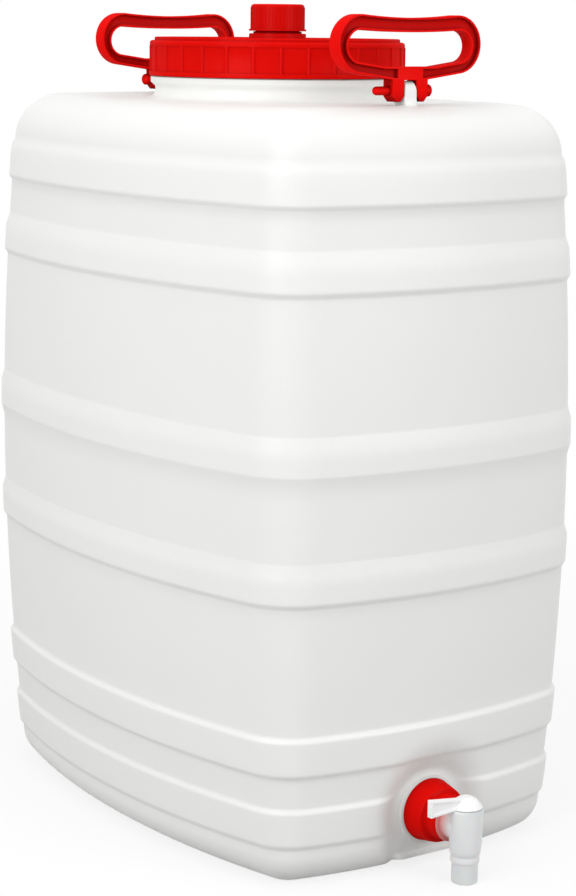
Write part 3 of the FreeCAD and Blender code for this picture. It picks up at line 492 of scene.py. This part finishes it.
# Lid: a red plastic screw lid, moulded in one piece with thirty ribs round the
# skirt, a bead at its foot, a raised rim and the vent's neck in the middle.
def refined(node, name, edge, angle=30, segments=2):
    """A merged copy of a CAD node with its flat faces whole and its edges
    broken, which stands for the node."""
    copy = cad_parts[node].copy()
    copy.data = copy.data.copy()
    copy.name = name
    copy.parent = None
    bpy.context.collection.objects.link(copy)
    select_only(copy)
    mesh = bmesh.new()
    mesh.from_mesh(copy.data)
    bmesh.ops.remove_doubles(mesh, verts=mesh.verts, dist=2e-6)
    bmesh.ops.dissolve_limit(mesh, angle_limit=math.radians(0.4), verts=mesh.verts, edges=mesh.edges)
    mesh.to_mesh(copy.data)
    mesh.free()
    if edge:
        bevel = copy.modifiers.new("edge", "BEVEL")
        bevel.width = edge * MM
        bevel.segments = segments
        bevel.limit_method = "ANGLE"
        bevel.angle_limit = math.radians(angle)
        bevel.use_clamp_overlap = True
        bpy.ops.object.modifier_apply(modifier="edge")
    bpy.ops.object.shade_smooth_by_angle(angle=math.radians(38))
    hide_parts(node)
    return copy


def dress(piece, finish, body):
    piece.data.materials.clear()
    piece.data.materials.append(finish.material)
    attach(piece, body)


def red_finish(name, deep, bright, gloss, sheen, shade):
    """A moulded red with painted shade in its recesses and grooves, where an ambient occlusion node
    darkens it towards the shade colour. It is paler in the light it throws onto other surfaces.
    """
    finish = Finish(name)
    cloud = finish.noise(30.0, 3.0)
    grain = finish.noise(900.0, 2.0)
    swell = finish.noise(45.0, 1.0)
    # Diffuse rays from other surfaces see a pale, weak red, so less red light bounces off it.
    onto_others = finish.node("ShaderNodeLightPath")["Is Diffuse Ray"]
    # Painted shade: an ambient occlusion node of 10 mm mixes the base colour towards the shade
    # colour in recesses, grooves and crevices.
    painted_hollow_shade = finish.node("ShaderNodeAmbientOcclusion", {"samples": 8}, Distance=0.010)["AO"]
    seen = finish.blend(painted_hollow_shade, shade, finish.blend(cloud, deep, bright))
    finish.set(Base_Color=finish.blend(onto_others, seen, (0.22, 0.11, 0.10, 1)),
               Roughness=gloss + 0.08 * cloud,
               Normal=finish.bump(grain * 0.12 + swell, 0.0005, 0.3))
    finish.shader.inputs["Specular IOR Level"].default_value = 0.0
    finish.shader.inputs["Coat Weight"].default_value = sheen
    finish.shader.inputs["Coat Roughness"].default_value = 0.25
    return finish


red = red_finish("red_plastic", (0.64, 0.0028, 0.0016, 1), (0.73, 0.0040, 0.0022, 1), 0.24,
                 sheen=0.06, shade=(0.38, 0.0010, 0.0008, 1))
dress(refined("screw_lid", "lid", 0.35), red, "lid")
lid_thread = thread("lid_thread", 91.2, 564.5, 9.0, 1.5, 1.6, 3.2, inward=True)
dress(lid_thread, red, "lid")
vent_thread = thread("vent_neck_thread", 16.6, 592.5, 6.0, 1.6, 0.5, 2.2)
dress(vent_thread, red, "lid")


# Lid gasket: a flat ring of pale soft rubber, punched from sheet, that stays
# under the lid's roof.
pale_rubber = Finish("white_rubber")
dust = pale_rubber.noise(160.0, 3.0)
pale_rubber.set(Base_Color=pale_rubber.blend(dust, (0.66, 0.66, 0.63, 1), (0.76, 0.76, 0.73, 1)),
                Roughness=0.62 + 0.12 * dust, Normal=pale_rubber.bump(dust, 0.0002, 0.4))
dress(refined("lid_gasket", "gasket_of_the_lid", 0.25), pale_rubber, "lid_seal")


# Vent cap and its seal: a small moulded screw cap of red plastic, with fine
# grip ridges and a plain lip, over a disc of the same pale rubber.
dress(refined("vent_cap", "small_cap", 0.12, angle=35), red, "cap")
dress(refined("vent_cap_seal", "seal_disc", 0.2), pale_rubber, "cap_seal")


# Handles and pins: two carrying loops with a grooved section, moulded in a
# stiffer red plastic with deep painted shade in its grooves, each hung by its
# ears on a pin through the lug.
# Its own red is as bright as the lid's. Its shade colour is the near-black red of the painted shade
# in the grooves.
handle_red = red_finish("dark_red_plastic", (0.76, 0.0040, 0.0030, 1),
                      (0.84, 0.0055, 0.0038, 1), 0.30,
                      sheen=0.05, shade=(0.10, 0.0008, 0.0008, 1))
for side in ("front", "rear"):
    dress(refined(side + "_handle", side + "_carrying_loop", 0.7, segments=3), handle_red,
          "handle_" + side)
    dress(refined(side + "_handle_pin", side + "_pin", 0.3), handle_red, "drum")


# Outlet gasket and adapter: a red plastic cone, moulded in one piece with the
# narrower nose that carries the tap, fixed in the boss on a flat gasket.
TURNED_STEPS = 96


def turned(name, profile, lying=False, place=(0, 0, 0)):
    """A body of revolution from its radii and levels, upright or along Y."""
    rings = []
    for radius, level in profile:
        ring = []
        for step in range(TURNED_STEPS):
            turn = 2 * math.pi * step / TURNED_STEPS
            one, two = radius * math.cos(turn), radius * math.sin(turn)
            point = (one, level, two) if lying else (one, two, level)
            ring.append(tuple(a + b for a, b in zip(point, place)))
        rings.append(ring)
    return ringed(name, rings)


def smooth(piece):
    select_only(piece)
    bpy.ops.object.shade_smooth_by_angle(angle=math.radians(38))
    return piece


dress(refined("outlet_gasket", "gasket_of_the_outlet", 0.2), pale_rubber, "drum")
cone = turned("outlet_cone", [
    (7.8, -204.9), (7.8, -189.0), (8.3, -188.5), (12.8, -188.5), (13.3, -189.0),
    (13.3, -200.5), (22.1, -200.5), (22.7, -200.9), (22.9, -201.6), (22.6, -203.0), (20.4, -215.4),
    (20.0, -216.4), (19.0, -217.0), (17.6, -217.2), (16.9, -217.8), (16.1, -226.8), (15.6, -227.6),
    (15.0, -227.9), (10.8, -227.9), (10.8, -205.0), (7.8, -205.0)], lying=True,
    place=(0, 0, TAP_LEVEL))
dress(smooth(cone), red, "drum")
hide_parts("outlet_adapter")


# Tap: a barrel with its ring, spout and flanged stub, moulded in one piece of
# cloudy see-through plastic, and an opaque white key with a domed head, a flat
# lever and a plug with two O-rings, pushed in from above.
clear = Finish("clear_plastic")
haze = clear.noise(60.0, 2.0)
reach = clear.node("ShaderNodeSeparateXYZ", Vector=clear.place)["Y"]
# Painted light: the clear plastic is tinted red by its place next to the red cone, standing in for
# the cone's red light seen in the stub.
painted_cone_light = clear.node("ShaderNodeMapRange", Value=reach, From_Min=-0.2400,
                      From_Max=-0.2300)["Result"]
cloudy = clear.blend(haze, (0.87, 0.88, 0.88, 1), (0.92, 0.93, 0.93, 1))
clear.set(Base_Color=clear.blend(painted_cone_light * 0.9, cloudy, (0.80, 0.22, 0.20, 1)),
          Roughness=0.28 + 0.1 * haze, Transmission_Weight=0.15, Subsurface_Weight=0.3,
          Subsurface_Scale=0.004, Normal=clear.bump(haze, 0.0003, 0.3))
clear.shader.inputs["IOR"].default_value = 1.45
BARREL_REACH = -243.0
tap = turned("tap_barrel", [
    (9.0, 0.3), (9.3, 0.6), (9.45, 1.3), (9.45, 14.4), (9.6, 14.9), (10.15, 15.3), (10.35, 16.2),
    (10.35, 18.2), (10.1, 19.2), (9.9, 19.8), (10.0, 20.4), (10.9, 21.6), (11.2, 25.0), (11.8, 30.0),
    (12.7, 45.0), (13.2, 52.6), (13.0, 54.0), (12.4, 54.5)],
    place=(0, BARREL_REACH, 0))
stub = turned("tap_stub", [
    (10.7, -206.2), (10.7, -227.9), (14.4, -227.9), (15.4, -228.1), (15.8, -228.6),
    (15.7, -229.2), (14.6, -229.6), (13.1, -229.9), (12.9, -231.5), (12.9, -243.0)],
    lying=True, place=(0, 0, TAP_LEVEL))
carve(tap, stub, "UNION")
for way, radius, low, high in (("plug_way", 8.35, 25.3, 60.0), ("spout_way", 7.4, -2.0, 24.6),
                               ("key_way", 6.4, 20.0, 30.0)):
    carve(tap, cutter(way, radius, low, high, lying=False, place=(0, BARREL_REACH, 0)),
          "DIFFERENCE")
carve(tap, cutter("inlet", 6.4, -243.0, -200.0, place=(0, 0, TAP_LEVEL)), "DIFFERENCE")
BARREL_DEEPEST = 11.5
for vert in tap.data.vertices:
    out = math.hypot(vert.co.x / MM, vert.co.y / MM - BARREL_REACH)
    if BARREL_DEEPEST < out < 13.3 and vert.co.y / MM < -234:
        vert.co.y = (BARREL_REACH + (vert.co.y / MM - BARREL_REACH) * BARREL_DEEPEST / out) * MM
dress(smooth(tap), clear, "drum")
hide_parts("tap_body")
dress(refined("tap_gasket", "tap_washer", 0.15), pale_rubber, "drum")

white = Finish("white_plastic")
fleck = white.noise(40.0, 2.0)
white.set(Base_Color=white.blend(fleck, (0.90, 0.90, 0.90, 1), (0.93, 0.93, 0.93, 1)),
          Roughness=0.30 + 0.1 * fleck, Normal=white.bump(fleck, 0.0002, 0.3))
key = turned("key_and_lever", [
    (5.4, 46.7), (5.4, 25.8), (8.0, 25.8), (8.3, 26.1), (8.3, 29.47), (7.3, 29.47),
    (7.3, 30.73), (8.3, 30.73), (8.3, 50.97), (7.3, 50.97), (7.3, 52.23), (8.3, 52.23),
    (8.3, 54.9), (11.2, 54.9), (11.5, 55.1), (11.65, 55.6), (11.4, 56.0), (10.8, 56.9),
    (9.8, 58.2), (8.6, 59.7), (7.2, 61.1), (5.4, 62.3), (3.7, 62.9), (3.0, 63.05),
    (2.7, 63.0)], place=(0, BARREL_REACH, 0))
bpy.ops.object.select_all(action="DESELECT")
bpy.ops.mesh.primitive_cube_add(size=2 * MM, location=(0, 0, 0))
lever = bpy.context.object
lever.name = "lever"
bpy.ops.object.mode_set(mode="EDIT")
shape = bmesh.from_edit_mesh(lever.data)
for vert in shape.verts:
    tip, high, back = vert.co.x < 0, vert.co.z > 0, vert.co.y > 0
    vert.co.x = (-33.2 if tip else -4.0) * MM
    vert.co.z = ((65.9 if tip else 62.3) if high else (53.3 if tip else 55.0)) * MM
    vert.co.y = (BARREL_REACH + (2.0 if back else -2.6)) * MM
bmesh.update_edit_mesh(lever.data)
bpy.ops.mesh.select_all(action="DESELECT")
bpy.ops.mesh.select_mode(type="FACE")
shape = bmesh.from_edit_mesh(lever.data)
shape.normal_update()
for face in shape.faces:
    face.select = abs(face.normal.y) > 0.9
bmesh.update_edit_mesh(lever.data)
bpy.ops.mesh.inset(thickness=2.0 * MM, depth=0)
bpy.ops.mesh.inset(thickness=0.25 * MM, depth=-1.1 * MM)
bpy.ops.mesh.select_mode(type="VERT")
bpy.ops.object.mode_set(mode="OBJECT")
select_only(lever)
edge = lever.modifiers.new("edge", "BEVEL")
edge.width, edge.segments = 0.35 * MM, 3
edge.limit_method, edge.angle_limit = "ANGLE", math.radians(50)
bpy.ops.object.modifier_apply(modifier="edge")
carve(key, lever, "UNION")
port = cutter("port", 5.4, -9.0, 0.0)
port.data.transform(Matrix.Translation((0, BARREL_REACH * MM, TAP_LEVEL * MM))
                    @ Matrix.Rotation(math.pi / 2, 4, "Z"))
carve(key, port, "DIFFERENCE")
dress(smooth(key), white, "key")
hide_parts("tap_key")

black_rubber = Finish("black_rubber")
bloom = black_rubber.noise(300.0, 2.0)
black_rubber.set(Base_Color=black_rubber.blend(bloom, (0.02, 0.02, 0.02, 1),
                                               (0.035, 0.035, 0.035, 1)),
                 Roughness=0.5 + 0.1 * bloom)
for place in ("upper", "lower"):
    dress(refined("key_ring_" + place, place + "_o_ring", 0.1), black_rubber, "key")


# Floor and background: a plain white floor that keeps only a faint shadow, and
# a white surround for the camera and for reflections.
bpy.ops.object.select_all(action="DESELECT")
bpy.ops.mesh.primitive_plane_add(size=8)
floor = bpy.context.object
floor.name = "floor"
ground = Finish("floor_white")
path = ground.node("ShaderNodeLightPath")
camera_sees = path["Is Camera Ray"] + path["Is Glossy Ray"] + path["Is Transmission Ray"]
seen = ground.node("ShaderNodeClamp", Value=camera_sees)["Result"]
away = ground.node("ShaderNodeVectorMath", {"operation": "LENGTH"}, Vector=ground.place)["Value"]
far = ground.node("ShaderNodeMapRange", Value=away, From_Min=0.4, From_Max=1.1)["Result"]
ground.set(Base_Color=ground.blend(seen, (0.45, 0.45, 0.45, 1), (0.93, 0.93, 0.93, 1)),
           Roughness=0.9)
ground.shader.inputs["Specular IOR Level"].default_value = 0.0
glow = ground.node("ShaderNodeEmission", Color=(1, 1, 1, 1), Strength=1.0)["Emission"]
lit_floor = Value(ground.tree, ground.shader.outputs[0])
sheet = ground.tree.nodes.new("ShaderNodeMixShader")
ground.tree.links.new((seen * (0.80 + 0.20 * far)).socket, sheet.inputs[0])
ground.tree.links.new(lit_floor.socket, sheet.inputs[1])
ground.tree.links.new(glow.socket, sheet.inputs[2])
ground.tree.links.new(sheet.outputs[0], ground.tree.nodes["Material Output"].inputs["Surface"])
floor.data.materials.append(ground.material)

world = bpy.data.worlds.new("surround")
bpy.context.scene.world = world
world.use_nodes = True
tree = world.node_tree
tree.nodes.clear()
ray = tree.nodes.new("ShaderNodeLightPath")
lit_white = tree.nodes.new("ShaderNodeBackground")
seen_white = tree.nodes.new("ShaderNodeBackground")
for white_light, strength in ((lit_white, 0.60), (seen_white, 1.0)):
    white_light.inputs["Strength"].default_value = strength
    white_light.inputs["Color"].default_value = (1, 1, 1, 1)
direct = tree.nodes.new("ShaderNodeMath")
direct.operation = "MAXIMUM"
seen_at_all = tree.nodes.new("ShaderNodeMath")
seen_at_all.operation = "MAXIMUM"
either = tree.nodes.new("ShaderNodeMixShader")
surround = tree.nodes.new("ShaderNodeOutputWorld")
for source, target in ((ray.outputs["Is Camera Ray"], direct.inputs[0]),
                       (ray.outputs["Is Transmission Ray"], direct.inputs[1]),
                       (direct.outputs[0], seen_at_all.inputs[0]),
                       (ray.outputs["Is Glossy Ray"], seen_at_all.inputs[1]),
                       (seen_at_all.outputs[0], either.inputs[0]),
                       (lit_white.outputs[0], either.inputs[1]),
                       (seen_white.outputs[0], either.inputs[2]),
                       (either.outputs[0], surround.inputs[0])):
    tree.links.new(source, target)
